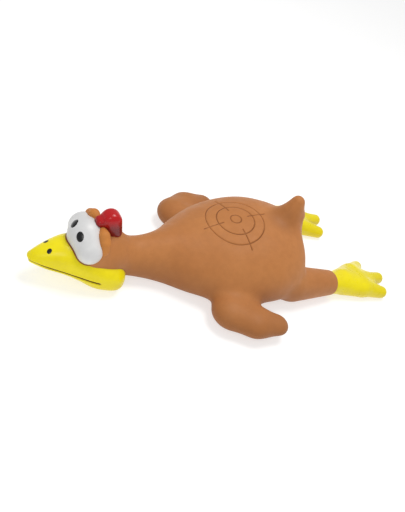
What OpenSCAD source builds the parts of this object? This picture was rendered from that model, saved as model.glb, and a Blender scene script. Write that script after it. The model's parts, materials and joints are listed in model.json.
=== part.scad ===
// Squeaky rubber chicken lying on its belly, beak along +X, back up.
// All sizes are in millimetres. The body plan is drawn with x = 0 under the
// middle of the torso and moved at the end to the centre of the bounding box.

/* [Torso] */
// Length of the torso, from the rump to the neck's hinge
torso_length = 106; // [95:1:130]
// Widest width of the torso
torso_width = 95; // [82:1:114]
// Height of the back above the belly
torso_height = 52.5; // [44:1:60]
// Thickness of the moulded rubber skin
skin = 2.4; // [1.8:0.1:3.2]
// How far the belly's curve is pressed flat
belly_flat = 1.2; // [0.6:0.1:1.6]
// Radius of the round edge at the rump
rump_round = 8; // [6:0.5:10]

/* [Neck] */
// Length of the neck between its two hinges
neck_length = 20; // [18:0.5:26]
// Width where the neck leaves the torso
neck_root_width = 37; // [33:0.5:42]
// Height where the neck leaves the torso
neck_root_height = 35; // [30:0.5:38]
// Width of the neck behind the head
neck_width = 27; // [24:0.5:31]
// Height of the neck's top behind the head
neck_top = 31; // [29:0.5:34]
// Height of the neck's underside behind the head
neck_under = 3; // [2:0.5:5]
// Bore of the air way through the neck
air_way = 12; // [8:0.5:14]
// How far the neck bends up, in degrees
neck_up = 35; // [20:1:35]
// How far the neck bends down, in degrees
neck_down = 25; // [15:1:30]

/* [Head] */
// How far the head turns to each side, in degrees
head_turn = 35; // [20:1:35]
// Length of the skull
skull_length = 45; // [38:1:50]
// Width of the skull
skull_width = 36; // [32:1:42]
// Height of the skull
skull_height = 33; // [29:1:38]
// Length of the bill from the back of its jowls to its tip
bill_length = 64; // [54:1:76]
// Width of the bill across its jowls
bill_width = 45; // [38:1:52]
// Height of the bill's brow
bill_height = 31; // [27:1:35]
// Width of the mouth's groove
mouth_groove = 1.2; // [0.8:0.1:1.8]
// Width across both eyes
eyes_width = 39.6; // [35:0.5:46]
// Radius of the eyes at the middle
eye_radius = 11.5; // [10:0.5:13]
// Diameter of a pupil
pupil = 4.4; // [3:0.2:6]
// Diameter of a nostril
nostril = 3; // [2:0.2:4]
// Height of the comb
comb_height = 20; // [16:1:26]
// Thickness of a painted spot
paint = 0.4; // [0.3:0.05:0.6]

/* [Wings] */
// Length of a wing's root along the torso
wing_root = 34; // [28:1:40]
// Radius of a wing's root
wing_root_r = 8.4; // [7:0.2:10]
// Reach of a wing beyond its root
wing_reach = 18.5; // [16:0.5:26]
// How far a wing lifts, in degrees
wing_up = 35; // [20:1:35]
// How far a wing drops, in degrees
wing_down = 25; // [10:1:30]

/* [Legs and feet] */
// Radius of a hip
hip_r = 13.2; // [11.5:0.1:14]
// Length of the left leg, from hip to ankle
left_leg_length = 37; // [32:1:44]
// Length of the right leg, from hip to ankle
right_leg_length = 27; // [26:1:44]
// Radius of a leg's cuff
cuff_r = 9.3; // [8.6:0.1:11]
// How far a leg lifts, in degrees
leg_up = 20; // [10:1:25]
// How far a leg drops, in degrees
leg_down = 40; // [20:1:45]
// Radius of an ankle's ball
ankle_r = 6.8; // [6:0.1:7]
// Length of the middle toe, from the ankle
toe_length = 59.6; // [50:0.5:72]
// Distance from the middle toe's tip to a side toe's
toe_spread = 15.2; // [12:0.2:18]
// Radius of a toe's tip
toe_r = 5.4; // [4.6:0.1:6.4]
// How far a foot bends each way, in degrees
foot_bend = 35; // [20:1:36]

/* [Tail] */
// Height of the tail above the back
tail_height = 19; // [14:1:24]
// Radius of the tail's root
tail_root_r = 12; // [9:0.5:12]
// How far the tail bends each way, in degrees
tail_bend = 20; // [10:1:22]

/* [Back panel and squeaker] */
// Diameter of the back's soft panel
panel_d = 44; // [36:1:50]
// Travel of the back panel when it is pressed
press = 10; // [6:1:14]
// Width and depth of the target's grooves
groove = 0.9; // [0.6:0.1:1.2]
// Diameter of the squeaker's barrel
squeaker_d = 16; // [13:0.5:20]
// Height of the squeaker
squeaker_h = 13; // [11:0.5:18]
// Swing of the squeaker's reed each way, in degrees
reed_swing = 6; // [3:1:7]

/* [Fit] */
// Gap between two pieces that move
gap = 0.5; // [0.4:0.05:0.6]
// Gap round the squeaker's parts
squeaker_gap = 0.15; // [0.1:0.05:0.3]

/* [Hidden] */

tan_rubber = "peru";
lid_rubber = "chocolate";
yellow_rubber = "gold";

// Places along the body plan
rump_x = -70;
neck_x = rump_x + torso_length;
head_x = neck_x + neck_length;
jowl_x = head_x + 9.5;
bill_x = jowl_x + bill_length;
// A section's widest height, as a share of its height, and the powers of the superellipses
// above and below it
body_section = [0.42, 2, 2.6];
bill_section = [0.5, 2.2, 2.2];
ring = 24;             // points round a loft's section
far = 200;             // longer than any part
trim = 2;              // spare angle between two pieces at a joint's limit, in degrees

// Stations of the body: [share of the torso's length, share of its extra width over the
// neck's, share of its extra height]
torso_form = [[0, 0.45, 0.68], [0.056, 0.66, 0.82], [0.14, 0.86, 0.93], [0.296, 1, 1],
    [0.48, 0.95, 0.905], [0.667, 0.77, 0.62], [0.833, 0.45, 0.27], [1, 0, 0]];
// Stations as [x, half width, top, bottom]
torso_stations = [for (s = torso_form) [rump_x + s[0]*torso_length,
    neck_root_width/2 + s[1]*(torso_width - neck_root_width)/2,
    neck_root_height + s[2]*(torso_height - neck_root_height),
    -belly_flat*(s[0] < 0.9 ? 1 : 0)]];
neck_stations = [[neck_x + 0.7*neck_length, neck_width/2 + 0.7, neck_top + 0.5, neck_under - 1.5],
    [head_x + 10, neck_width/2 - 0.3, neck_top - 0.5, neck_under + 0.5],
    [head_x + 24, neck_width/2 - 0.5, neck_top - 1, neck_under + 1]];
body_stations = concat(torso_stations, neck_stations);
bill_brow = 31;         // the brow's height in the form below
// Stations of the bill: [share of its length, share of its width, top, bottom]
bill_form = [[0, 0.62, 20, 6.5], [0.08, 0.84, 23, 2.8], [0.2, 0.99, 26, 0.8], [0.35, 0.97, 28.5, 0.6],
    [0.51, 0.84, 30, 2.5], [0.635, 0.66, 31, 5], [0.76, 0.49, 28.7, 7.5], [0.87, 0.35, 25, 9.8],
    [0.95, 0.22, 21.7, 11.8], [1, 0.1, 18, 14]];
bill_stations = [for (s = bill_form) [jowl_x + s[0]*bill_length, s[1]*bill_width/2,
    s[2]*bill_height/bill_brow, s[3]]];

// A smooth curve through the stations: column k at x
function slope(st, i, k) = let (lo = max(i - 1, 0), hi = min(i + 1, len(st) - 1))
    (st[hi][k] - st[lo][k])/(st[hi][0] - st[lo][0]);
function span_at(st, x) = max([0, for (i = [0:len(st) - 2]) if (st[i][0] <= x) i]);
function smooth(st, x, k) = let (i = span_at(st, x), h = st[i + 1][0] - st[i][0],
    t = min(max((x - st[i][0])/h, 0), 1), m0 = slope(st, i, k)*h, m1 = slope(st, i + 1, k)*h)
    (2*t^3 - 3*t^2 + 1)*st[i][k] + (t^3 - 2*t^2 + t)*m0
    + (3*t^2 - 2*t^3)*st[i + 1][k] + (t^3 - t^2)*m1;
// Side of the body at x and height z, and its top at x
function side_y(x, z) = let (w = smooth(body_stations, x, 1), t = smooth(body_stations, x, 2),
    b = smooth(body_stations, x, 3), m = b + body_section[0]*(t - b),
    p = body_section[z > m ? 1 : 2], q = min(abs(z - m)/(z > m ? t - m : m - b), 1))
    w*pow(1 - pow(q, p), 1/p);
function top_z(x) = smooth(body_stations, x, 2);

// Joints and seats
neck_c = [neck_x, 0, (neck_root_height - belly_flat/2)/2];
neck_ball = max(neck_root_width, neck_root_height)/2 + 0.6;
neck_proud = 0.3;       // how far the neck's ball stands out of the body's shape
head_c = [head_x, 0, (neck_top + neck_under)/2 - 0.4];
head_ball = (neck_top - neck_under)/2 - 0.6;
wing_x = rump_x + 0.56*torso_length;
wing_z = wing_root_r + 2.2;
wing_turn = atan2(side_y(wing_x - wing_root/2, wing_z) - side_y(wing_x + wing_root/2, wing_z),
    wing_root);
wing_c = [wing_x, side_y(wing_x, wing_z) + 2.5, wing_z];
hip_z = hip_r + 1.2;
hip_inset = 4.5;
leg_root_r = hip_r - 2.2;
leg_clearance = 1.4;
// Each leg: [side, hip's x, splay outwards in degrees, length, turn of the foot outwards]
left_limb = [1, rump_x + 4.5, -4, left_leg_length, -8];
right_limb = [-1, rump_x + 11, 30, right_leg_length, 3];
ankle_z = cuff_r + 1.2;
tail_x = rump_x + 12.5;
tail_c = [tail_x, 0, top_z(tail_x) - 5];
tail_tip_r = 4;
tail_tip = [tail_x - 3, 0, top_z(tail_x) + tail_height - tail_tip_r];
tail_lean = 20;         // angle kept free between the tail's sides and the back, in degrees
panel_x = rump_x + 0.53*torso_length;
squeaker_x = rump_x + 0.42*torso_length;
squeaker_lip = 1.7;     // outer and inner flange beyond the barrel
squeaker_flange = 1.2;  // thickness of a flange
chamber_r = squeaker_d/2 - 1.6;
squeaker_vent = 2.6;    // radius of the hole in the squeaker's foot
squeaker_cap_h = 1.5;
reed_root_x = -0.5*chamber_r;
reed_w = 5;
reed_t = 0.3;
reed_z = 6;
squeaker_set = 0.1;     // how far the squeaker's foot stays above the belly's flat
squeaker_snap = 1;      // how far its upper lip springs out over the seat
seat_h = squeaker_flange + skin + 0.2;

target_rings = [0.16, 0.48, 0.78];  // radii of the target's rings, as shares of the panel's
target_cross = [0.24, 0.93];        // where the target's cross lines begin and end

skull_c = [head_x + 25, 0, neck_top - 8];
skull_r = [0.42*skull_length, skull_width/2, skull_height/2];
// Where the skull runs on under the eyes
brow_c = skull_c + [0.2*skull_length, 0, 2];
brow_r = [0.26*skull_length, 0.47*skull_width, 0.4*skull_height];
eye_mid_c = skull_c + [11.5, 0, 11];
eye_side_r = 0.81*eye_radius;
pupil_tilt = 63;        // a pupil's direction from the eyes' middle, from straight up
pupil_turn = 37;        // and from straight ahead
pupil_oval = 1.3;       // a pupil's height over its width
bill_hollow_r = [9, 7, 6];
nostril_x = bill_x - 12.5;
nostril_y = 4.5;
// Ridge behind an eye: [forwards, outwards, up, radius] from the skull's centre
lid_path = [[4, 4.5, 17, 6], [2, 10, 16.5, 6.7], [1.5, 14, 11, 5.8], [4.5, 17, 5, 3.5]];
comb_c = skull_c + [-0.5, 0, 12 + comb_height/2];
// Knobs of the comb: [forwards and up from its middle, radii]
comb_knobs = [[[0, 0, 0], [6.5, 6.2, 0.5*comb_height]],
    [[4.5, 0, -0.12*comb_height], [4.5, 4.5, 0.25*comb_height]],
    [[-1.5, 0, -0.3*comb_height], [5, 4.5, 0.25*comb_height]]];
mouth_tip_z = 12.3;
mouth_slope = 6.7;      // degrees
mouth_length = 0.72*bill_length;
// Lobes of a wing: [middle, radius]
wing_elbow = [[8, 0.55*wing_reach, 0.4], 13.6];
wing_mid = [[-8, 0.9*wing_reach, 0], 12.2];
wing_tip = [[-24, 0.92*wing_reach, -0.4], 9];
wing_flat = 0.66;       // a lobe's thickness over its width

function eye_side_c(side) = eye_mid_c
    + [0.5, side*(eyes_width/2 - eye_side_r), -3.2];
function hip_c(limb) = [limb[1], limb[0]*(side_y(limb[1], hip_z + 4) - hip_inset), hip_z];
function leg_dir(limb) = [-cos(limb[2]), limb[0]*sin(limb[2])];
function ankle_c(limb) = let (h = hip_c(limb), d = leg_dir(limb))
    [h[0] + limb[3]*d[0], h[1] + limb[3]*d[1], ankle_z];
function toe_end(limb) = ankle_c(limb)[0] - toe_length*cos(limb[4]) - toe_r;

// The frame's origin: the middle of the box in x
middle_x = (bill_x + min(toe_end(left_limb), toe_end(right_limb)))/2;

// --- Shapes -------------------------------------------------------------------

// A loft of superellipse sections between x0 and x1, rounded at its ends and grown by grow
function rounding(r, past) = past > 0 ? r - sqrt(max(r^2 - past^2, 0)) : 0;
module loft(st, x0, x1, round0, round1, form, rings, grow = 0) {
    a = x0 - grow;
    b = x1 + grow;
    r0 = round0 + grow;
    r1 = round1 + grow;
    inner = [for (i = [0:rings]) a + r0 + (b - r1 - a - r0)*i/rings];
    low = [for (q = [0:22.5:67.5]) a + r0*(1 - cos(q))];
    high = [for (q = [67.5:-22.5:0]) b - r1*(1 - cos(q))];
    xs = concat(low, inner, high);
    function inset(x) = rounding(r0, a + r0 - x) + rounding(r1, x - b + r1);
    function section(x) = let (off = grow - inset(x), w = smooth(st, x, 1) + off,
        t = smooth(st, x, 2), u = smooth(st, x, 3), m = u + form[0]*(t - u))
        [for (i = [0:ring - 1])
            let (q = 360*i/ring, c = cos(q), s = sin(q), p = 2/form[s > 0 ? 1 : 2])
            [x, w*sign(c)*pow(abs(c), p),
             m + (s > 0 ? t - m + off : m - u + off)*sign(s)*pow(abs(s), p)]];
    n = len(xs);
    points = [for (x = xs) each section(x)];
    sides = [for (k = [0:n - 2], i = [0:ring - 1]) let (j = (i + 1)%ring)
        [k*ring + i, (k + 1)*ring + i, (k + 1)*ring + j, k*ring + j]];
    ends = [[for (i = [0:ring - 1]) i], [for (i = [ring - 1:-1:0]) (n - 1)*ring + i]];
    polyhedron(points, concat(sides, ends), convexity = 6);
}

module ball(c, r, facets = 26) { translate(c) sphere(r, $fn = facets); }
module oval(c, r, facets = 24) { translate(c) scale(r) sphere(1, $fn = facets); }

// What lies within the angles a0 to a1 of +X about c, in the XZ plane or the XY plane
module wedge_upright(c, a0, a1) {
    translate(c) rotate([90, 0, 0]) wedge_slab(a0, a1);
}
module wedge_level(c, a0, a1) { translate(c) wedge_slab(a0, a1); }
module wedge_slab(a0, a1) {
    linear_extrude(far, center = true)
        polygon([[0, 0], for (i = [0:8]) let (a = a0 + (a1 - a0)*i/8) far*[cos(a), sin(a)]]);
}

module body_form(grow = 0) {
    loft(body_stations, rump_x, head_x + 22, rump_round, 3, body_section, 18, grow);
}
module bill_form_solid(grow = 0) {
    loft(bill_stations, jowl_x, bill_x, 7, 2.2, bill_section, 14, grow);
}
// Everything above the belly's flat
module above_belly() {
    translate([-far, -far, 0]) cube(2*far);
}
module beyond(x) { translate([x, -far/2, -far/2]) cube(far); }

// --- Torso ---------------------------------------------------------------------

// Places and turns a limb's own frame: its x points out along the limb
module at_hip(limb) {
    translate(hip_c(limb)) mirror([0, limb[0] > 0 ? 0 : 1, 0]) rotate([0, 0, 180 - limb[2]])
        children();
}
module at_ankle(limb) {
    translate(ankle_c(limb)) mirror([0, limb[0] > 0 ? 0 : 1, 0]) rotate([0, 0, 180 - limb[4]])
        children();
}
// A wing's own frame: x forwards along its root, y outwards
module at_shoulder(side) {
    mirror([0, side > 0 ? 0 : 1, 0]) translate(wing_c) rotate([0, 0, -wing_turn]) children();
}

// The room that a limb takes up in the torso, with its swing
module leg_room(limb, grow) {
    ball(hip_c(limb), hip_r + gap + grow);
    at_hip(limb) hull() for (a = [-leg_down - trim, 0, leg_up + trim]) rotate([0, -a, 0]) {
        for (x = [0.7*hip_r, 2*hip_r]) translate([x, 0, 0])
            sphere(leg_root_r + leg_clearance + grow, $fn = 16);
    }
}
module wing_room(side, grow) {
    at_shoulder(side) rotate([0, 90, 0])
        cylinder(r = wing_root_r + gap + grow, h = wing_root + 2*(gap + grow), center = true,
            $fn = 32);
}
module rooms(grow) {
    ball(neck_c, neck_ball + gap + grow);
    ball(tail_c, tail_root_r + gap + grow);
    for (side = [1, -1]) wing_room(side, grow);
    for (limb = [left_limb, right_limb]) leg_room(limb, grow);
}
module squeaker_seat() {
    translate([squeaker_x, 0, 0])
        cylinder(r = squeaker_d/2 + squeaker_lip + 3, h = seat_h, $fn = 48);
}
module squeaker_hole() {
    translate([squeaker_x, 0, 0]) {
        cylinder(r = squeaker_d/2 + squeaker_gap, h = 3*seat_h, center = true, $fn = 48);
        cylinder(r = squeaker_d/2 + squeaker_lip + squeaker_gap,
            h = 2*(squeaker_flange + squeaker_gap), center = true, $fn = 48);
    }
}
module torso_skin() {
    color(tan_rubber) resize([0, 0, 0]) difference() {
        intersection() { body_form(); above_belly(); }
        beyond(neck_x);
        difference() {
            loft(body_stations, rump_x, neck_x - neck_ball - gap, rump_round, 2*skin + 3,
                body_section, 10, -skin);
            rooms(skin);
            squeaker_seat();
            translate([-far, -far, skin - 2*far]) cube(2*far);
        }
        rooms(0);
        squeaker_hole();
        translate([panel_x, 0, torso_height/2]) cylinder(r = panel_d/2 + gap, h = far, $fn = 48);
        translate([neck_x - neck_ball - 3*skin, 0, neck_c[2]]) rotate([0, 90, 0])
            cylinder(r = air_way/2, h = neck_ball, $fn = 24);
    }
}

// --- Back panel ------------------------------------------------------------------

// The round soft panel in the back, with a target of grooves moulded in its face
module back_panel() {
    color(tan_rubber) resize([0, 0, 0]) difference() {
        intersection() {
            body_form();
            translate([panel_x, 0, torso_height/2]) cylinder(r = panel_d/2, h = far, $fn = 48);
        }
        body_form(-skin);
        difference() {
            target();
            body_form(-groove);
        }
    }
}
module target() {
    translate([panel_x, 0, 0]) {
        for (share = target_rings) difference() {
            cylinder(r = share*panel_d/2 + groove/2, h = far, $fn = 28);
            translate([0, 0, -1]) cylinder(r = share*panel_d/2 - groove/2, h = far + 2, $fn = 28);
        }
        for (a = [0:90:270]) rotate([0, 0, a]) translate([target_cross[0]*panel_d/2, -groove/2, 0])
            cube([(target_cross[1] - target_cross[0])*panel_d/2, groove, far]);
    }
}

// --- Neck ------------------------------------------------------------------------

module neck_skin() {
    color(tan_rubber) resize([0, 0, 0]) difference() {
        union() {
            intersection() {
                body_form();
                above_belly();
                wedge_upright(neck_c, -(90 - neck_down - trim), 90 - neck_up - trim);
                translate([head_x - far, -far/2, -far/2]) cube(far);
            }
            intersection() {
                body_form(neck_proud);
                above_belly();
                ball(neck_c, neck_ball);
            }
            ball(head_c, head_ball);
        }
        translate([neck_x - far/2, 0, head_c[2]]) rotate([0, 90, 0])
            cylinder(r = air_way/2, h = far, $fn = 24);
    }
}

// --- Head ------------------------------------------------------------------------

// Turns and gaps at the head's hinge are cut from every piece of the head
module clear_of_neck() {
    difference() {
        intersection() {
            children();
            wedge_level(head_c, -(90 - head_turn - trim), 90 - head_turn - trim);
        }
        ball(head_c, head_ball + gap);
    }
}
module skull_form() {
    hull() {
        oval(skull_c, skull_r, 20);
        oval(brow_c, brow_r, 20);
    }
    intersection() { body_form(); beyond(head_x); }
}
module head_hollow() {
    hull() {
        oval(skull_c + [3, 0, -1], skull_r - 1.7*skin*[1, 1, 1], 16);
        oval(skull_c + [0.5*bill_length, 0, -4], bill_hollow_r, 16);
    }
    translate([head_x, 0, head_c[2]]) rotate([0, 90, 0])
        cylinder(r = air_way/2, h = skull_length/2, $fn = 24);
}
module head_skin() {
    color(tan_rubber) resize([0, 0, 0]) clear_of_neck() difference() {
        skull_form();
        bill_form_solid();
        eyes_form();
        for (side = [1, -1]) eyelid_form(side);
        comb_form();
        head_hollow();
    }
}
module bill() {
    color(yellow_rubber) resize([0, 0, 0]) clear_of_neck() difference() {
        bill_form_solid();
        eyes_form();
        for (side = [1, -1]) eyelid_form(side);
        head_hollow();
        mouth();
    }
}
// The groove between the bill's halves, swept down from the tip to the jowls
module mouth() {
    difference() {
        translate([bill_x, 0, mouth_tip_z]) rotate([0, -mouth_slope, 0])
            translate([-mouth_length, -far/2, -mouth_groove/2])
                cube([mouth_length + far, far, mouth_groove]);
        bill_form_solid(-mouth_groove);
    }
}
module eyes_form(grow = 0) {
    hull() {
        for (side = [1, -1]) ball(eye_side_c(side), eye_side_r + grow, 20);
        ball(eye_mid_c, eye_radius + grow, 20);
    }
}
module eyes() {
    color("white") resize([0, 0, 0]) difference() {
        eyes_form();
        head_hollow();
    }
}
module pupil_spot(side) {
    color("black") resize([0, 0, 0]) difference() {
        intersection() {
            eyes_form(paint);
            translate(eye_mid_c) rotate([0, pupil_tilt, side*pupil_turn]) scale([pupil_oval, 1, 1])
                cylinder(d = pupil, h = far, $fn = 20);
        }
        eyes_form();
    }
}
module nostril_spot(side) {
    color("black") resize([0, 0, 0]) difference() {
        intersection() {
            bill_form_solid(paint);
            translate([nostril_x, side*nostril_y, 0]) cylinder(d = nostril, h = far, $fn = 20);
            translate([nostril_x, side*nostril_y, far/2 + bill_height/2]) cube(far, center = true);
        }
        bill_form_solid();
    }
}
module eyelid_form(side) {
    for (i = [0:len(lid_path) - 2]) hull() for (p = [lid_path[i], lid_path[i + 1]])
        ball(skull_c + [p[0], side*p[1], p[2]], p[3], 16);
}
module eyelid(side) {
    color(lid_rubber) resize([0, 0, 0]) difference() {
        eyelid_form(side);
        eyes_form();
        comb_form();
        head_hollow();
    }
}
module comb_form() {
    hull() for (k = comb_knobs) oval(comb_c + k[0], k[1], 18);
}
module comb() {
    color("firebrick") resize([0, 0, 0]) difference() {
        comb_form();
        eyes_form();
        head_hollow();
    }
}

// --- Wings -----------------------------------------------------------------------

module wing(side) {
    color(tan_rubber) resize([0, 0, 0]) at_shoulder(side) {
        rotate([0, 90, 0]) cylinder(r = wing_root_r, h = wing_root, center = true, $fn = 32);
        intersection() {
            union() {
                hull() {
                    translate([0, 1, 0]) rotate([0, 90, 0])
                        cylinder(r = wing_root_r - 1, h = wing_root, center = true, $fn = 24);
                    wing_lobe(wing_elbow);
                    wing_lobe(wing_mid);
                }
                hull() {
                    wing_lobe(wing_mid);
                    wing_lobe(wing_tip);
                }
            }
            rotate([90, 0, 90]) wedge_slab(-(90 - trim), 90 - wing_up - trim);
        }
    }
}
module wing_lobe(lobe) {
    translate(lobe[0]) scale([1, 1, wing_flat]) sphere(lobe[1], $fn = 24);
}

// --- Legs and feet ----------------------------------------------------------------

module leg(limb) {
    color(tan_rubber) resize([0, 0, 0]) difference() {
        union() {
            ball(hip_c(limb), hip_r);
            at_hip(limb) hull() {
                sphere(leg_root_r, $fn = 24);
                translate([limb[3] - 2, 0, ankle_z - hip_z]) sphere(cuff_r, $fn = 24);
            }
        }
        ball(ankle_c(limb), ankle_r + gap, 24);
        at_ankle(limb) translate([0, -far/2, -far/2]) cube(far);
    }
}
module foot(limb) {
    color(yellow_rubber) resize([0, 0, 0]) at_ankle(limb) {
        sphere(ankle_r, $fn = 24);
        intersection() {
            union() {
                hull() {
                    sphere(cuff_r - 1, $fn = 16);
                    for (s = [-1, 1]) translate([0.5*toe_length, 0.5*s*toe_spread, -2.5])
                        sphere(toe_r + 1.2, $fn = 16);
                }
                for (s = [-1, 0, 1]) hull() {
                    translate([0.3*toe_length, 0.3*s*toe_spread, -1.5]) sphere(toe_r + 1.6, $fn = 16);
                    translate([toe_length - abs(s)*0.6*toe_spread, s*toe_spread,
                        toe_r + 0.4 - ankle_z]) sphere(toe_r, $fn = 16);
                }
            }
            rotate([90, 0, 0]) wedge_slab(-(90 - foot_bend - trim), 90 - foot_bend - trim);
        }
    }
}

// --- Tail ------------------------------------------------------------------------

module tail() {
    color(tan_rubber) resize([0, 0, 0]) {
        ball(tail_c, tail_root_r, 28);
        intersection() {
            hull() {
                translate(tail_c) sphere(tail_root_r - 1, $fn = 24);
                translate(tail_tip) sphere(tail_tip_r, $fn = 16);
            }
            wedge_upright(tail_c, tail_lean + tail_bend + trim,
                180 - tail_lean - tail_bend - trim);
        }
    }
}

// --- Squeaker --------------------------------------------------------------------

module squeaker_body() {
    r = squeaker_d/2;
    rim = r + squeaker_lip;
    low = squeaker_set;
    color("ivory") translate([squeaker_x, 0, 0]) {
        rotate_extrude($fn = 96) polygon([[squeaker_vent, low], [rim, low],
            [rim, low + squeaker_flange], [r, low + squeaker_flange], [r, seat_h + squeaker_gap],
            [r + squeaker_snap, seat_h + squeaker_gap], [r, seat_h + 1.4*squeaker_snap],
            [r, squeaker_h],
            [chamber_r, squeaker_h], [chamber_r, low + squeaker_flange],
            [squeaker_vent, low + squeaker_flange]]);
        intersection() {
            translate([0, 0, low + squeaker_flange])
                cylinder(r = chamber_r + 0.5, h = reed_z, $fn = 96);
            translate([-far + reed_root_x - squeaker_gap, -far/2, 0]) cube(far);
        }
    }
}
module squeaker_cap() {
    color("ivory") translate([squeaker_x, 0, squeaker_h - squeaker_cap_h]) difference() {
        cylinder(r = chamber_r - 0.02, h = squeaker_cap_h, $fn = 96);
        for (a = [0:60:300]) rotate([0, 0, a]) translate([0.55*chamber_r, 0, -1])
            cylinder(r = 0.9, h = squeaker_cap_h + 2, $fn = 24);
    }
}
// The free length of the reed, from the shelf that holds its root
module squeaker_reed() {
    color("silver") translate([squeaker_x + reed_root_x, -reed_w/2, reed_z])
        cube([0.7*chamber_r - reed_root_x, reed_w, reed_t]);
}

// --- The whole toy ------------------------------------------------------------------

module placed() { translate([-middle_x, 0, 0]) children(); }
placed() torso_skin();
placed() back_panel();
placed() neck_skin();
placed() head_skin();
placed() bill();
placed() nostril_spot(1);  // left_nostril
placed() nostril_spot(-1);  // right_nostril
placed() eyes();
placed() pupil_spot(1);  // left_pupil
placed() pupil_spot(-1);  // right_pupil
placed() eyelid(1);  // left_eyelid
placed() eyelid(-1);  // right_eyelid
placed() comb();
placed() wing(1);  // left_wing
placed() wing(-1);  // right_wing
placed() leg(left_limb);  // left_leg
placed() leg(right_limb);  // right_leg
placed() foot(left_limb);  // left_foot
placed() foot(right_limb);  // right_foot
placed() tail();
placed() squeaker_body();
placed() squeaker_reed();
placed() squeaker_cap();
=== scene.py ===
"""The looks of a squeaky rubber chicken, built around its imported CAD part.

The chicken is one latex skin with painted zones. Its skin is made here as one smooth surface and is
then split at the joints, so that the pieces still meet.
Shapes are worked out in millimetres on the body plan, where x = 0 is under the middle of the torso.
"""

import json
import math

import bmesh
import bpy
import numpy as np
from mathutils import Matrix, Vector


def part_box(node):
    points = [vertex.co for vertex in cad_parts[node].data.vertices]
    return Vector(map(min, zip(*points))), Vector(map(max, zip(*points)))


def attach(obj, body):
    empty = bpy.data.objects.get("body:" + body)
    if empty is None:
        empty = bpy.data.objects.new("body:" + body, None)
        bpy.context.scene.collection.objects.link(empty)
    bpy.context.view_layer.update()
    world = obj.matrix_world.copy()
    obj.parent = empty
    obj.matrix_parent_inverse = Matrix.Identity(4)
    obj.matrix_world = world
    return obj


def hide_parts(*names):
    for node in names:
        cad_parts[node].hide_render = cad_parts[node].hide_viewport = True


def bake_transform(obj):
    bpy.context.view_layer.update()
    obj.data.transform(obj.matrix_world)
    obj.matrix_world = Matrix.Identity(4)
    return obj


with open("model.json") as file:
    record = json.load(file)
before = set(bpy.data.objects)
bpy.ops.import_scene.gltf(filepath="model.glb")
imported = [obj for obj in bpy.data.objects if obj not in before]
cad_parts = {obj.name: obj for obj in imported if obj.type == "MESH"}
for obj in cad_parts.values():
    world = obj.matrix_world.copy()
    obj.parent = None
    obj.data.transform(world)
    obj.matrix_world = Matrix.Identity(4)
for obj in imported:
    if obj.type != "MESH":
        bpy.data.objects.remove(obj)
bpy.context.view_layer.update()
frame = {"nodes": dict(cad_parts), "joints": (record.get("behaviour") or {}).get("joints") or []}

MM = 0.001
NECK_X = 36.0           # the neck's hinge on the body plan
SIDES = {"left": 1, "right": -1}
JOINTS = {j["name"]: j for j in frame["joints"]}
PLAN = np.array([JOINTS["neck_bend"]["pos_m"][0] / MM - NECK_X, 0.0, 0.0])


def joint_at(name):
    """Where a joint is on the body plan."""
    return np.array(JOINTS[name]["pos_m"]) / MM - PLAN


def joint_axis(name):
    return np.array(JOINTS[name]["axis"], float)


def node_middle(node):
    """The middle of a CAD node's box on the body plan."""
    low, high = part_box(node)
    return (np.array(low) + np.array(high)) / 2 / MM - PLAN


# --- Sizes ---------------------------------------------------------------------------

WALL = 2.4              # thickness of the latex skin
SKIN_STEP = 1.5         # size of the skin's faces

RUMP_X = -70.0
RUMP_ROUND = 8.0
BODY_SECTION = (0.42, 2.0, 2.6)   # widest height's share, power above it, power below it
# Torso: (share of its length, share of its extra width, share of its extra height)
TORSO_FORM = [(0, 0.45, 0.68), (0.056, 0.66, 0.82), (0.14, 0.86, 0.93), (0.296, 1, 1),
              (0.48, 0.95, 0.905), (0.667, 0.77, 0.62), (0.833, 0.45, 0.27), (1, 0, 0)]
TORSO_HALF, TORSO_TOP = 47.5, 52.5
NECK_HALF, NECK_TOP = 18.5, 35.0
BELLY = -1.2
# Neck: (x, half width, top, bottom)
NECK_STATIONS = [(50, 13.9, 31.5, 2.6), (66, 12.8, 30.5, 5.5), (80, 13, 30, 5)]
NECK_END, NECK_END_ROUND = 78, 3        # inside the head

BILL_BACK, BILL_TIP, BILL_HALF = 63.5, 129.5, 22.5
BILL_ROUND, BILL_TIP_ROUND = 10.0, 2.2
BILL_SECTION = (0.42, 2.15, 2.8)
# Bill: (share of its length, share of its half width, top, bottom)
BILL_FORM = [(0, 0.84, 17.5, 3), (0.09, 0.98, 21, 1.2), (0.21, 1.03, 25.4, 0.8),
             (0.36, 0.95, 28.5, 1.8), (0.52, 0.77, 30, 6.2), (0.645, 0.62, 31, 9),
             (0.765, 0.475, 28.7, 10.6), (0.87, 0.345, 25, 11.8), (0.95, 0.22, 21.9, 12.8),
             (1, 0.12, 18.8, 13.8)]
MOUTH_TIP_Z, MOUTH_SLOPE, MOUTH_LENGTH = 17.0, 6.6, 44.0
MOUTH_DEPTH, MOUTH_WIDTH = 1.1, 0.55

SKULL = np.array([81.0, 0, 23.0])
SKULL_R = np.array([18.9, 18.0, 16.5])
BROW_AT, BROW_R = (9, 0, 2), np.array([12.5, 16.9, 13.2])
EYES = SKULL + (14.2, 0, 11.0)
# The eyes: (forwards, to the left, up, radius)
EYE_BALLS = [(-1.0, 10.4, -3.0, 8.9), (-0.6, 0, 0.4, 11.3), (-2.4, -10.2, -0.6, 10.0)]
PUPIL_LOOK = {"left": (6.4, 7.2, 5.9), "right": (7.4, -3.1, 7.7)}
PUPIL_R = {"left": (3.3, 2.4), "right": (3.5, 2.8)}
PUPIL_ROLL = {"left": -25.0, "right": -76.0}
NOSTRIL_AT, NOSTRIL_R = (117.0, 4.5), 1.5
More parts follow.
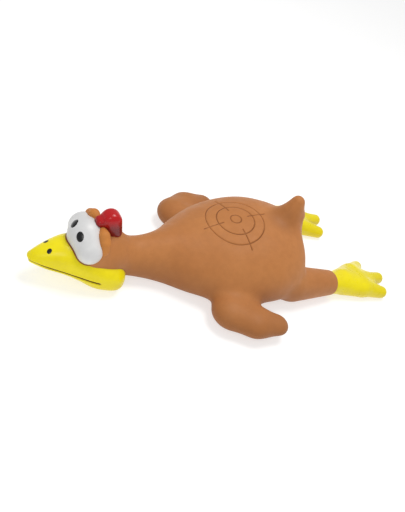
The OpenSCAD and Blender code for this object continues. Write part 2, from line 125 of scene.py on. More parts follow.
# Ridge behind an eye: (forwards, outwards, up from the skull's middle, radius)
LID_PATH = {"left": [(5.4, 4.6, 20.0, 2.4), (5.4, 8.8, 18.6, 3.1), (5.0, 12, 15.0, 3.2),
                     (4.8, 13.6, 10.6, 2.7), (5.4, 14.6, 6.4, 1.7)],
            "right": [(5.8, 4.8, 21.2, 2.5), (7.4, 9.6, 21.6, 3.1), (7.6, 13.8, 18.4, 3.1),
                      (6.4, 15.8, 12.4, 2.7), (5.8, 16.4, 6.8, 1.8)]}
COMB = SKULL + (-0.5, 0, 22.0)
COMB_FLAT, COMB_POWER = 6.2, 1.8        # how far from the middle the comb's sides are, how flat

# A wing's lobes: (forwards, outwards, up from its hinge, radius)
WING_LOBES = [(1, -5, 0.6, 14.2), (7, 9.6, 0.4, 13.8), (-8, 16.4, 0, 12.2), (-24, 16.8, -0.4, 9)]
WING_FLAT = 0.66
HIP_R, CUFF_R, CUFF_END, CUFF_DROP = 13.4, 9.3, 1.2, 3.9
# Toes of each foot: (across, reach)
FOOT_TOES = {"left": [(15.2, 50), (0.6, 59.5), (-15.2, 48)],
             "right": [(16.5, 52), (0.6, 59.5), (-10.5, 47)]}
WEB_X, WEB_Z, WEB_R = 29, 7.2, np.array([20, 14.0, 6.7])
TAIL_TIP = np.array([-3.0, 0, 20.0])   # from the tail's hinge
TAIL_TIP_R = 4.2
# Painted shade: the tail's front is coloured darker round this place, where it faces away from the light.
TAIL_SHADE_CENTRE = np.array([7.0, 4.0, 5.0])   # where the shade in front of the tail is deepest

PANEL_R = 22.0
TARGET_R = 27.5         # the whole target, with its cross
TARGET_RINGS = (3.8, 13.2, 20.4)
TARGET_CROSS = (9.5, 24.4)
TARGET_OVAL = 1.1       # stretched across the back
TARGET_TURN = 5.0
TARGET_DEPTH, TARGET_WIDTH = 0.6, 0.42

SQUEAKER_FOOT_R, SQUEAKER_RECESS = 9.85, 1.9

# Fillets where the parts of the skin meet
TAIL_FILLET, WING_FILLET, LEG_FILLET, SKULL_FILLET = 13, 14, 9, 9
BELLY_ROUND = 2.0

# Where the skin is split, and the ranges over which each piece's bending weights are worked out
NECK_FROM, HEAD_FROM = 20, 47
NECK_BENDS, HEAD_TURNS = (21, 46), (48, 66)
LIMB_FROM, TAIL_BENDS, WING_BENDS, LEG_BENDS = 0.6, 9, 13, 17   # distance from the torso

CAMERA_AT = np.array([263.1, 321.5, 316.3])   # on the body plan
CAMERA_TURN, CAMERA_DROP, CAMERA_ROLL = 39.3, 36.0, 24.4
CAMERA_LENS, CAMERA_SENSOR = 50.0, 36.0
FLOOR_HALF = 4.0        # metres

BODY = np.array(
    [(RUMP_X + s * (NECK_X - RUMP_X), NECK_HALF + w * (TORSO_HALF - NECK_HALF),
      NECK_TOP + h * (TORSO_TOP - NECK_TOP), BELLY if s < 0.9 else 0) for s, w, h in TORSO_FORM]
    + NECK_STATIONS, float)
BILL = np.array([(BILL_BACK + s * (BILL_TIP - BILL_BACK), w * BILL_HALF, t, b)
                 for s, w, t, b in BILL_FORM])


# --- Distance functions: below 0 inside, in millimetres on the body plan --------------

def smooth_step(value, start, end):
    t = np.clip((value - start) / (end - start), 0, 1)
    return t * t * (3 - 2 * t)


def smooth_min(a, b, reach):
    """The union of two shapes, with a fillet."""
    h = np.maximum(reach - np.abs(a - b), 0) / reach
    return np.minimum(a, b) - h**3 * reach / 6


def smooth_max(a, b, reach):
    return -smooth_min(-a, -b, reach)


def curve_at(rows, x, column):
    """A smooth curve through one column of the stations."""
    at, value = rows[:, 0], rows[:, column]
    low, high = np.maximum(np.arange(len(at)) - 1, 0), np.minimum(np.arange(len(at)) + 1, len(at) - 1)
    slope = (value[high] - value[low]) / (at[high] - at[low])
    x = np.clip(x, at[0], at[-1])
    i = np.clip(np.searchsorted(at, x) - 1, 0, len(at) - 2)
    h = at[i + 1] - at[i]
    t = (x - at[i]) / h
    return ((2 * t**3 - 3 * t**2 + 1) * value[i] + (t**3 - 2 * t**2 + t) * h * slope[i]
            + (3 * t**2 - 2 * t**3) * value[i + 1] + (t**3 - t**2) * h * slope[i + 1])


def lofted(p, rows, section, rear, front):
    """A loft of superellipse sections. rear and front are (where it ends, radius of its round edge)."""
    x, y, z = p[..., 0], np.abs(p[..., 1]), p[..., 2]
    half, top, bottom = (curve_at(rows, x, k) for k in (1, 2, 3))
    middle = bottom + section[0] * (top - bottom)
    above = z > middle
    height = np.where(above, top - middle, middle - bottom)
    power = np.where(above, section[1], section[2])
    rise = np.abs(z - middle)
    spread = np.maximum(((y / half)**power + (rise / height)**power)**(1 / power), 1e-6)
    d = np.maximum(np.hypot(y, rise) * (1 - 1 / spread), -np.minimum(half, height))
    for past, r in ((rear[0] + rear[1] - x, rear[1]), (x - front[0] + front[1], front[1])):
        d = np.where(past > 0, np.hypot(np.maximum(d + r, 0), past) - r, d)
    return d


def round_cone(p, a, b, ra, rb):
    """The hull of two balls."""
    ba = b - a
    length2 = ba @ ba
    rr = ra - rb
    a2 = length2 - rr * rr
    pa = p - a
    y = pa @ ba
    z = y - length2
    q = pa * length2 - y[..., None] * ba
    x2 = (q * q).sum(-1)
    y2, z2 = y * y * length2, z * z * length2
    k = np.sign(rr) * rr * rr * x2
    d = (np.sqrt(x2 * a2 / length2) + y * rr) / length2 - ra
    d = np.where(np.sign(z) * a2 * z2 > k, np.sqrt(x2 + z2) / length2 - rb, d)
    return np.where(np.sign(y) * a2 * y2 < k, np.sqrt(x2 + y2) / length2 - ra, d)


def chain(p, balls, reach, flat=1.0):
    """Round cones from ball to ball (x, y, z, radius), flattened along z."""
    squeeze = np.array([1, 1, 1 / flat])
    q = p * squeeze
    d = None
    for one, two in zip(balls[:-1], balls[1:]):
        cone = round_cone(q, np.array(one[:3]) * squeeze, np.array(two[:3]) * squeeze, one[3], two[3])
        d = cone if d is None else smooth_min(d, cone, reach)
    return d * flat


def ellipsoid(p, centre, radii):
    q = (p - centre) / radii
    k = np.sqrt((q * q).sum(-1))
    return k * (k - 1) / (np.sqrt(((q / radii)**2).sum(-1)) + 1e-9)


def local(p, origin, along, outward):
    """p in a level frame: x along, y outward and z up from the origin."""
    q = p - origin
    return np.stack([q @ along, q @ outward, q[..., 2]], -1)


def wing_frame(p, side):
    axis = joint_axis(f"{side}_wing_flap") * SIDES[side]
    outward = SIDES[side] * np.array([-axis[1], axis[0], 0])
    return local(p, joint_at(f"{side}_wing_flap"), axis, outward)


def limb_frame(p, joint):
    """x out along a leg or a foot, y across it."""
    axis = joint_axis(joint)
    return local(p, joint_at(joint), np.array([-axis[1], axis[0], 0]), axis)


def leg_length(side):
    return np.hypot(*(joint_at(f"{side}_foot_bend") - joint_at(f"{side}_leg_swing"))[:2])


def body(p):
    return lofted(p, BODY, BODY_SECTION, (RUMP_X, RUMP_ROUND), (NECK_END, NECK_END_ROUND))


def tail(p):
    hinge = joint_at("tail_bend")
    tip = hinge + TAIL_TIP
    d = round_cone(p, hinge + (1.5, 0, -3), tip, 12.5, TAIL_TIP_R)
    keel = [(*(hinge + (-7.6, 0, -7)), 8.4), (*(hinge + (-7.4, 0, 8.5)), 5.9),
            (*(tip - (0.6, 0, 1)), TAIL_TIP_R)]
    return smooth_min(d, chain(p, keel, 3), 5)


def wing(p, side):
    return chain(wing_frame(p, side), WING_LOBES, 9, WING_FLAT)


def leg(p, side):
    q = limb_frame(p, f"{side}_leg_swing")
    length = leg_length(side)
    d = round_cone(q, np.array([-3.0, 0, 0]), np.array([length + 3, 0, -CUFF_DROP]), HIP_R, CUFF_R)
    return smooth_max(d, q[..., 0] - length - CUFF_END, 4)


def eyes(p):
    return chain(p, [(*(EYES + ball[:3]), ball[3]) for ball in EYE_BALLS], 4)


def lid(p, side):
    s = SIDES[side]
    return chain(p, [(*(SKULL + (x, s * y, z)), r) for x, y, z, r in LID_PATH[side]], 4)


def skull(p):
    d = ellipsoid(p, SKULL, SKULL_R)
    d = smooth_min(d, ellipsoid(p, SKULL + BROW_AT, BROW_R), 6)
    for side in SIDES:
        d = smooth_min(d, lid(p, side) + 0.5, 5)
    return d


def comb(p):
    flat = COMB_FLAT * (np.abs(p[..., 1]) / COMB_FLAT)**COMB_POWER
    q = np.stack([p[..., 0], flat, p[..., 2]], -1)
    d = round_cone(q, COMB + (-3.6, 0, -5.6), COMB + (0.2, 0, 3.0), 5.5, 6.7)
    return smooth_min(d, round_cone(q, COMB + (0, 0, 0), COMB + (7.4, 0, 1.4), 4.4, 3.1), 2.2)


def mouth_plane(p):
    """Height above the mouth's groove, and how far behind the tip."""
    slope = math.radians(MOUTH_SLOPE)
    x, z = p[..., 0] - BILL_TIP, p[..., 2] - MOUTH_TIP_Z
    return z * math.cos(slope) - x * math.sin(slope), -x


def bill_loft(p):
    return lofted(p, BILL, BILL_SECTION, (BILL_BACK, BILL_ROUND), (BILL_TIP, BILL_TIP_ROUND))


def bill(p):
    d = bill_loft(p)
    height, behind = mouth_plane(p)
    run = smooth_step(behind, MOUTH_LENGTH + 2, MOUTH_LENGTH - 2)
    groove = MOUTH_DEPTH * np.exp(-(height / MOUTH_WIDTH)**2)
    lip = 0.35 * np.exp(-((height - 1.5) / 1.0)**2) + 0.25 * np.exp(-((height + 1.5) / 1.0)**2)
    chin = 1.6 * smooth_step(-height, 0, 0.8) * smooth_step(behind, 14, 0)
    return d + run * (groove - lip) + chin


def rim(p):
    """The line of skin that shows between the eyes and the bill, coloured dark brown as painted shadow in
    the crease there.
    """
    between = smooth_max(eyes(p) - 0.75, bill_loft(p) - 0.7, 0.4)
    return smooth_max(between, SKULL[0] + 4 - p[..., 0], 0.4)


def foot(p, side):
    q = limb_frame(p, f"{side}_foot_bend")
    ground = -joint_at(f"{side}_foot_bend")[2]
    d = None
    fillet = 0.6 + 6.5 * smooth_step(q[..., 0], 9, 26)
    for across, reach in FOOT_TOES[side]:
        toe = [(-3, 0, 0, 8.2), (14, 0.12 * across, -1.4, 8.4), (32, 0.56 * across, ground + 7.4, 7.2),
               (reach, across, ground + 5.2, 5.0)]
        d = chain(q, toe, 4) if d is None else smooth_min(d, chain(q, toe, 4), fillet)
    d = smooth_min(d, ellipsoid(q, np.array([WEB_X, 0, ground + WEB_Z]), WEB_R), 6)
    return smooth_max(d, ground + 0.15 - q[..., 2], 2.5)


def skin(p):
    d = smooth_min(body(p), tail(p), TAIL_FILLET)
    for side in SIDES:
        d = smooth_min(d, wing(p, side), WING_FILLET)
        d = smooth_min(d, leg(p, side), LEG_FILLET)
    d = smooth_min(d, skull(p), SKULL_FILLET)
    return smooth_max(d, -p[..., 2], BELLY_ROUND)


# --- Surfaces from distance functions -------------------------------------------------

def gradient(f, v, e=0.04):
    """The slope of f, from four samples round each point."""
    corners = np.array([(1, -1, -1), (-1, -1, 1), (-1, 1, -1), (1, 1, 1)], float)
    return sum(c * f(v + e * c)[:, None] for c in corners) / (4 * e)


def onto(f, v, steps=2):
    """Points moved onto the surface of f."""
    for _ in range(steps):
        g = gradient(f, v)
        v = v - g * (f(v) / np.maximum((g * g).sum(-1), 0.05))[:, None]
    return v


def unit(v):
    return v / np.maximum(np.linalg.norm(v, axis=-1, keepdims=True), 1e-12)


def sampled(f, low, high, step):
    """f on a grid: exact near the surface, and coarse elsewhere."""
    skip = 4
    count = np.ceil((high - low) / (step * skip)).astype(int)
    axes = [low[i] + step * skip * np.arange(count[i] + 1) for i in range(3)]
    coarse = f(np.stack(np.meshgrid(*axes, indexing="ij"), -1))
    near = np.abs(coarse) < 1.9 * step * skip
    block = np.zeros(count, bool)
    for corner in np.ndindex(2, 2, 2):
        block |= near[tuple(slice(c, c + n) for c, n in zip(corner, count))]
    values = coarse[:-1, :-1, :-1]
    for axis in range(3):
        values, block = np.repeat(values, skip, axis), np.repeat(block, skip, axis)
    values = values.copy()
    at = np.argwhere(block)
    values[block] = f(low + step * at)
    return values


def surface(f, low, high, step, rounds=3):
    """The surface of f as (points, quads), by surface nets, evened out along the surface."""
    low, high = np.array(low, float), np.array(high, float)
    value = sampled(f, low, high, step)
    inside = value < 0
    count = np.array(value.shape)
    corners = list(np.ndindex(2, 2, 2))
    cells = sum(inside[tuple(slice(c, n - 1 + c) for c, n in zip(k, count))].astype(int) for k in corners)
    active = (cells > 0) & (cells < 8)
    index = np.full(count - 1, -1)
    ids = np.argwhere(active)
    index[active] = np.arange(len(ids))
    total, hits = np.zeros((len(ids), 3)), np.zeros(len(ids))
    for one in corners:
        for two in corners:
            if two <= one or sum(abs(i - j) for i, j in zip(one, two)) != 1:
                continue
            a, b = ids + one, ids + two
            va, vb = value[tuple(a.T)], value[tuple(b.T)]
            cross = (va < 0) != (vb < 0)
            t = va[cross] / (va[cross] - vb[cross])
            total[cross] += a[cross] + (b - a)[cross] * t[:, None]
            hits[cross] += 1
    points = low + step * total / hits[:, None]
    quads = []
    for axis in range(3):
        first, second = np.eye(3, dtype=int)[(axis + 1) % 3], np.eye(3, dtype=int)[(axis + 2) % 3]
        here, there = [slice(1, -1)] * 3, [slice(1, -1)] * 3
        here[axis], there[axis] = slice(0, -1), slice(1, None)
        edge = np.argwhere(inside[tuple(here)] != inside[tuple(there)]) + 1
        edge[:, axis] -= 1
        quad = np.stack([index[tuple((edge - s).T)] for s in (first + second, second, 0 * first, first)], 1)
        out = ~inside[tuple(edge.T)]
        quad[out] = quad[out][:, ::-1]
        quads.append(quad)
    quads = np.concatenate(quads)
    ends = np.concatenate([quads[:, [i, (i + 1) % 4]] for i in range(4)])
    points = onto(f, points, 2)
    for _ in range(rounds):
        mean, near = np.zeros_like(points), np.zeros(len(points))
        np.add.at(mean, ends[:, 0], points[ends[:, 1]])
        np.add.at(near, ends[:, 0], 1)
        points = onto(f, 0.4 * points + 0.6 * mean / near[:, None], 1)
    return onto(f, points, 1), quads


def taken(points, faces):
    """Only the points that the faces use, with the faces renumbered."""
    used, flat = np.unique(np.concatenate([np.asarray(f) for f in faces]), return_inverse=True)
    sizes = np.array([len(f) for f in faces])
    starts = np.concatenate([[0], np.cumsum(sizes)[:-1]])
    return used, points[used], [flat[s:s + n].tolist() for s, n in zip(starts, sizes)]


def finer(points, faces, cuts, chosen=None):
    """Faces cut into smaller ones. Open edges stay whole, so that neighbours still meet there."""
    mesh = bmesh.new()
    made = [mesh.verts.new(p) for p in points]
    for f in faces:
        mesh.faces.new([made[i] for i in f])
    edges = [e for e in mesh.edges if not e.is_boundary
             and (chosen is None or all(chosen(v.co) for v in e.verts))]
    bmesh.ops.subdivide_edges(mesh, edges=edges, cuts=cuts, use_grid_fill=True)
    mesh.verts.index_update()
    points = np.array([v.co for v in mesh.verts])
    faces = [[v.index for v in f.verts] for f in mesh.faces]
    mesh.free()
    return points, faces


def walled(points, faces, normals, wall):
    """An open surface closed into a wall: an inner copy, and a rim along its open edges."""
    n = len(points)
    directed = {(f[i - 1], f[i]) for f in faces for i in range(len(f))}
    rims = [[b, a, a + n, b + n] for a, b in sorted(directed) if (b, a) not in directed]
    inner = [[i + n for i in reversed(f)] for f in faces]
    return np.concatenate([points, points - wall * normals]), faces + inner + rims


# --- Pieces --------------------------------------------------------------------------

def add_piece(name, points, faces, material, normals=None):
    """A mesh piece from points in millimetres on the body plan."""
    mesh = bpy.data.meshes.new(name)
    mesh.from_pydata(((points + PLAN) * MM).tolist(), [], [list(map(int, f)) for f in faces])
    mesh.polygons.foreach_set("use_smooth", [True] * len(mesh.polygons))
    mesh.update()
    if normals is not None:
        mesh.normals_split_custom_set_from_vertices(normals.tolist())
    mesh.materials.append(material)
    piece = bpy.data.objects.new(name, mesh)
    bpy.context.scene.collection.objects.link(piece)
    return piece


def bend(piece):
    """Bakes the piece's placement into its mesh."""
    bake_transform(piece)


PANEL = node_middle("back_panel") * (1, 1, 0)
SQUEAKER = node_middle("squeaker_body") * (1, 1, 0)


def target_groove(p):
    """Depth of the target moulded in the back: rings, and a cross broken at its middle."""
    x, y = p[..., 0] - PANEL[0], (p[..., 1] - PANEL[1]) / TARGET_OVAL
    r = np.hypot(x, y)
    turn = math.radians(TARGET_TURN)
    x, y = math.cos(turn) * x + math.sin(turn) * y, math.cos(turn) * y - math.sin(turn) * x
    away = np.minimum.reduce([np.abs(r - ring) for ring in TARGET_RINGS])
    for u, v in ((x, y), (y, x)):
        off = np.maximum.reduce([TARGET_CROSS[0] - np.abs(u), np.abs(u) - TARGET_CROSS[1], 0 * u])
        away = np.minimum(away, np.hypot(v, off))
    return TARGET_DEPTH * np.exp(-(away / TARGET_WIDTH)**2)


def regions(at):
    """The name of the skin piece that each place belongs to."""
    torso = body(at)
    name = np.full(len(at), "torso", dtype=object)
    limb = torso > 0.35
    inner = np.abs(at[:, 1])
    wide, narrow = (at[:, 2] > 38) & (inner < 26), (at[:, 2] > 24) & (inner < 13)
    high = limb & (at[:, 0] < -35) & (wide | narrow)
    for side, s in SIDES.items():
        own = limb & ~high & (s * at[:, 1] > 0)
        nearer = leg(at, side) < wing(at, side)
        name[own & nearer] = f"{side}_leg"
        name[own & ~nearer] = f"{side}_wing"
    name[high] = "tail"
    name[at[:, 0] > NECK_FROM] = "neck"
    name[at[:, 0] > HEAD_FROM] = "head"
    on_back = (at[:, 2] > 25) & (np.hypot(*(at - PANEL).T[:2]) < TARGET_R)
    name[on_back & ~high] = "back"
    return name


def squeaker_recess(points, normals):
    """A round recess in the belly, where the squeaker's foot sits."""
    away = points - SQUEAKER
    r = np.hypot(away[:, 0], away[:, 1])
    low = points[:, 2] < 2
    floor = low & (r < SQUEAKER_FOOT_R)
    edge = low & (np.abs(r - SQUEAKER_FOOT_R) < 0.45)
    snug = SQUEAKER_FOOT_R + np.where(floor, -0.03, 0.03)
    points[edge, :2] = (SQUEAKER + away * (snug / np.maximum(r, 1e-6))[:, None])[edge, :2]
    points[floor, 2] = SQUEAKER_RECESS
    normals[low & (r < SQUEAKER_FOOT_R + 2)] = 0


def add_skin(material, marked):
    """The whole latex skin, split at the joints."""
    low, high = np.array([-116.0, -82, -3]), np.array([108.0, 82, 76])
    points, quads = surface(skin, low, high, SKIN_STEP)
    name = regions(points[quads].mean(1))
    weights = {
        "neck": (("torso", "neck"), lambda p: smooth_step(p[:, 0], *NECK_BENDS)),
        "head": (("neck", "head"), lambda p: smooth_step(p[:, 0], *HEAD_TURNS)),
        "back": (("torso", "back"), lambda p: smooth_step(
            np.hypot(*(p - PANEL).T[:2]), PANEL_R, 0.2 * PANEL_R)),
        "tail": (("torso", "tail"), lambda p: smooth_step(body(p), LIMB_FROM, TAIL_BENDS)),
    }
    for side in SIDES:
        weights[f"{side}_wing"] = (
            ("torso", f"{side}_wing"), lambda p: smooth_step(body(p), LIMB_FROM, WING_BENDS))
        weights[f"{side}_leg"] = (
            ("torso", f"{side}_leg"), lambda p: smooth_step(body(p), LIMB_FROM, LEG_BENDS))
    stands_for = {"torso": ["torso_skin"], "neck": ["neck_skin"], "head": ["head_skin"],
                  "back": ["back_panel"]}
    for region in ["torso", *weights]:
        _, own, faces = taken(points, quads[name == region])
        normals = unit(gradient(skin, own))
        if region == "back":
            count = len(own)
            own, faces = finer(own, faces, 3)
            own[count:] = onto(skin, own[count:], 1)
            normals = unit(gradient(skin, own))
            own = own - normals * target_groove(own)[:, None]
            normals = unit(gradient(lambda p: skin(p) + target_groove(p), own))
        if region == "torso":
            own, faces = finer(own, faces, 2, lambda v: v.z < 1 and math.hypot(
                v.x - SQUEAKER[0], v.y - SQUEAKER[1]) < SQUEAKER_FOOT_R + 3)
            normals = unit(gradient(skin, own))
            squeaker_recess(own, normals)
        straight = unit(gradient(skin, own))
        solid, faces = walled(own, faces, straight, WALL)
        piece = add_piece(f"skin_{region}", solid, faces, marked if region == "back" else material,
                          np.concatenate([normals, -straight]))
        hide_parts(*stands_for.get(region, [region]))
        if region == "torso":
            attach(piece, "torso")
        else:
            (a, b), weight = weights[region]
            once = weight(own)
            bend(piece)


def add_solid(name, f, low, high, step, material):
    """A closed piece from a distance function."""
    points, quads = surface(f, low, high, step)
    return add_piece(name, points, quads, material, unit(gradient(f, points)))


def add_spot(name, f, start, direction, radii, dome, material, roll=0.0):
    """A painted oval on the surface of f, where a line from start leaves it. radii are up and across."""
    direction = unit(np.array(direction, float))
    side = unit(np.cross((0, 0, 1), direction))
    c, s = math.cos(math.radians(roll)), math.sin(math.radians(roll))
    up = c * np.cross(direction, side) + s * side
    across = np.cross(up, direction)
    rings, around = 7, 40
    middle = start[None]
    for reach in np.arange(0, 40, 0.25):
        if f(start + direction * reach)[()] > 0:
            middle = (start + direction * reach)[None]
            break
    share = np.linspace(0, 1, rings + 1)[1:]
    angle = np.linspace(0, 2 * math.pi, around, endpoint=False)
    flat = [middle] + [middle + s * (radii[0] * np.cos(angle)[:, None] * up
                                     + radii[1] * np.sin(angle)[:, None] * across) for s in share]
    points = np.concatenate(flat)
    for _ in range(3):
        slope = (f(points + 0.05 * direction) - f(points - 0.05 * direction)) / 0.1
        points = points - direction * (f(points) / np.maximum(slope, 0.25))[:, None]
    height = np.append(dome, np.repeat(dome * np.sqrt(np.maximum(1 - share**2, 0)), around)) + 0.03
    normals = unit(gradient(f, points))
    faces = [[0, 1 + i, 1 + (i + 1) % around] for i in range(around)]
    faces += [[1 + r * around + i, 1 + (r + 1) * around + i, 1 + (r + 1) * around + (i + 1) % around,
               1 + r * around + (i + 1) % around] for r in range(rings - 1) for i in range(around)]
    points = points + normals * height[:, None]
    if np.cross(points[1] - points[0], points[2] - points[0]) @ direction < 0:
        faces = [f[::-1] for f in faces]
    solid, faces = walled(points, faces, normals, dome + 0.4)
    return add_piece(name, solid, faces, material)


# --- Materials -----------------------------------------------------------------------

def node(tree, kind, inputs=None, **settings):
    made = tree.nodes.new("ShaderNode" + kind)
    for key, value in settings.items():
        setattr(made, key, value)
    for socket, value in (inputs or {}).items():
        if isinstance(value, bpy.types.NodeSocket):
            tree.links.new(value, made.inputs[socket])
        else:
            made.inputs[socket].default_value = value
    return made


def colour(*rgb):
    """A colour as seen, from 0 to 1, in the shader's own values."""
    return (*[c / 12.92 if c <= 0.04045 else ((c + 0.055) / 1.055)**2.4 for c in rgb], 1)


class Finish:
    """A Principled material, with the few node forms that these finishes share."""

    def __init__(self, name, **sockets):
        self.material = bpy.data.materials.new(name)
        self.material.use_nodes = True
        self.tree = self.material.node_tree
        self.shader = self.tree.nodes["Principled BSDF"]
        for socket, value in sockets.items():
            socket = socket.replace("_", " ").title().replace("Ior", "IOR")
            self.shader.inputs[socket].default_value = value
        self.place = node(self.tree, "TexCoord").outputs["Object"]

    def noise(self, size, detail=2.0, roughness=0.5):
        """Noise with features of that size in millimetres."""
        return node(self.tree, "TexNoise", {"Vector": self.place, "Scale": 1 / (size * MM),
                                            "Detail": detail, "Roughness": roughness}).outputs["Fac"]

    def range(self, value, low, high, to_low=0.0, to_high=1.0):
        return node(self.tree, "MapRange", {"Value": value, "From Min": low, "From Max": high,
                                            "To Min": to_low, "To Max": to_high},
                    interpolation_type="SMOOTHSTEP").outputs["Result"]

    def mix(self, share, a, b):
        return node(self.tree, "Mix", {0: share, 6: a, 7: b}, data_type="RGBA").outputs[2]

    def math(self, kind, a, b=0.0):
        return node(self.tree, "Math", {0: a, 1: b}, operation=kind).outputs[0]

    def along(self, direction, origin=(0, 0, 0)):
        """Distance along a direction from a place on the body plan, in millimetres."""
        away = node(self.tree, "VectorMath", {0: self.place, 1: tuple((np.array(origin) + PLAN) * MM)},
                    operation="SUBTRACT").outputs[0]
        dot = node(self.tree, "VectorMath", {0: away, 1: tuple(np.array(direction) / MM)},
                   operation="DOT_PRODUCT").outputs["Value"]
        return dot

    def distance(self, origin):
        """Distance from a place on the body plan, in millimetres."""
        away = node(self.tree, "VectorMath", {0: self.place, 1: tuple((np.array(origin) + PLAN) * MM)},
                    operation="DISTANCE").outputs["Value"]
        return self.math("MULTIPLY", away, 1 / MM)

    def paint(self, value):
        self.tree.links.new(value, self.shader.inputs["Base Color"])

    def rough(self, value):
        self.tree.links.new(value, self.shader.inputs["Roughness"])

    def bump(self, *layers):
        """Relief from (height, depth in millimetres) layers."""
        normal = None
        for height, depth in layers:
            inputs = {"Height": height, "Strength": 1.0, "Distance": depth * MM}
            if normal is not None:
                inputs["Normal"] = normal
            normal = node(self.tree, "Bump", inputs).outputs[0]
        self.tree.links.new(normal, self.shader.inputs["Normal"])


def target_lines(m):
    """Where the target's grooves are: 1 on a line and 0 off it."""
    x = m.along((1, 0, 0), PANEL)
    y = m.math("DIVIDE", m.along((0, 1, 0), PANEL), TARGET_OVAL)
    turn = math.radians(TARGET_TURN)
    u = m.math("ADD", m.math("MULTIPLY", x, math.cos(turn)), m.math("MULTIPLY", y, math.sin(turn)))
    v = m.math("SUBTRACT", m.math("MULTIPLY", y, math.cos(turn)), m.math("MULTIPLY", x, math.sin(turn)))

    def length(a, b):
        return m.math("SQRT", m.math("ADD", m.math("MULTIPLY", a, a), m.math("MULTIPLY", b, b)))
    away = None
    for ring in TARGET_RINGS:
        off = m.math("ABSOLUTE", m.math("SUBTRACT", length(u, v), ring))
        away = off if away is None else m.math("MINIMUM", away, off)
    for a, b in ((u, v), (v, u)):
        long = m.math("ABSOLUTE", a)
        past = m.math("MAXIMUM", m.math("SUBTRACT", TARGET_CROSS[0], long),
                      m.math("SUBTRACT", long, TARGET_CROSS[1]))
        away = m.math("MINIMUM", away, length(m.math("MAXIMUM", past, 0.0), b))
    return m.range(away, 0.5, 0.12)


def latex(name, base, dark, light, target=None):
    """Matte painted latex: mottled paint, painted shade towards the bottom, and a fine grain."""
    m = Finish(name, specular_ior_level=0.22, sheen_weight=0.05, sheen_roughness=0.5)
    cloud = m.range(m.noise(34, 3), 0.36, 0.66)
    mottle = m.range(m.noise(4.5, 5, 0.6), 0.3, 0.72)
    tone = m.mix(m.math("MULTIPLY", cloud, 0.55), base, light)
    tone = m.mix(m.math("MULTIPLY", mottle, 0.16), tone, dark)
    # Painted shade: darker towards the bottom, where less light falls, and weaker towards the rear.
    below = m.range(m.along((0, 0, 1)), 29, 3)
    forward = m.range(m.along((1, 0, 0)), -85, -50, 0.2, 0.8)
    tone = m.mix(m.math("MULTIPLY", below, forward), tone, dark)
    # Painted shade on the tail's front, where it faces away from the light.
    tail_front_shade = m.range(m.distance(joint_at("tail_bend") + TAIL_SHADE_CENTRE), 17, 5)
    tone = m.mix(m.math("MULTIPLY", tail_front_shade, 0.5), tone, dark)
    speck = m.range(m.noise(1.3, 2), 0.70, 0.78)
    tone = m.mix(m.math("MULTIPLY", speck, 0.2), tone, light)
    if target:
        worn = m.range(m.noise(14, 2), 0.3, 0.6, 0.35, 0.8)
        tone = m.mix(m.math("MULTIPLY", target_lines(m), worn), tone, target)
    m.paint(tone)
    m.rough(m.range(m.noise(7, 4), 0.3, 0.7, 0.5, 0.62))
    m.bump((m.noise(9, 3), 0.10), (m.noise(0.9, 3, 0.6), 0.045), (m.noise(0.35, 2), 0.02))
    return m


def painted(name, base, dark, light, wave=0.06, low=0.2, high=0.3, coat=0.3):
    """Glossy brushed paint over latex: uneven in colour and gloss, with a soft orange peel."""
    m = Finish(name, specular_ior_level=0.3, coat_weight=coat, coat_roughness=0.14)
    tone = m.mix(m.range(m.noise(16, 3), 0.35, 0.68), base, light)
    tone = m.mix(m.math("MULTIPLY", m.range(m.noise(3.4, 4, 0.6), 0.42, 0.78), 0.14), tone, dark)
    # Painted shade: darker towards the bottom, where less light falls.
    below = m.range(m.along((0, 0, 1)), 17, 1)
    tone = m.mix(m.math("MULTIPLY", below, 0.6), tone, dark)
    m.paint(tone)
    m.tone = tone
    m.rough(m.range(m.noise(6, 4), 0.3, 0.7, low, high))
    m.bump((m.noise(5, 2), wave), (m.noise(0.8, 3), 0.02))
    return m


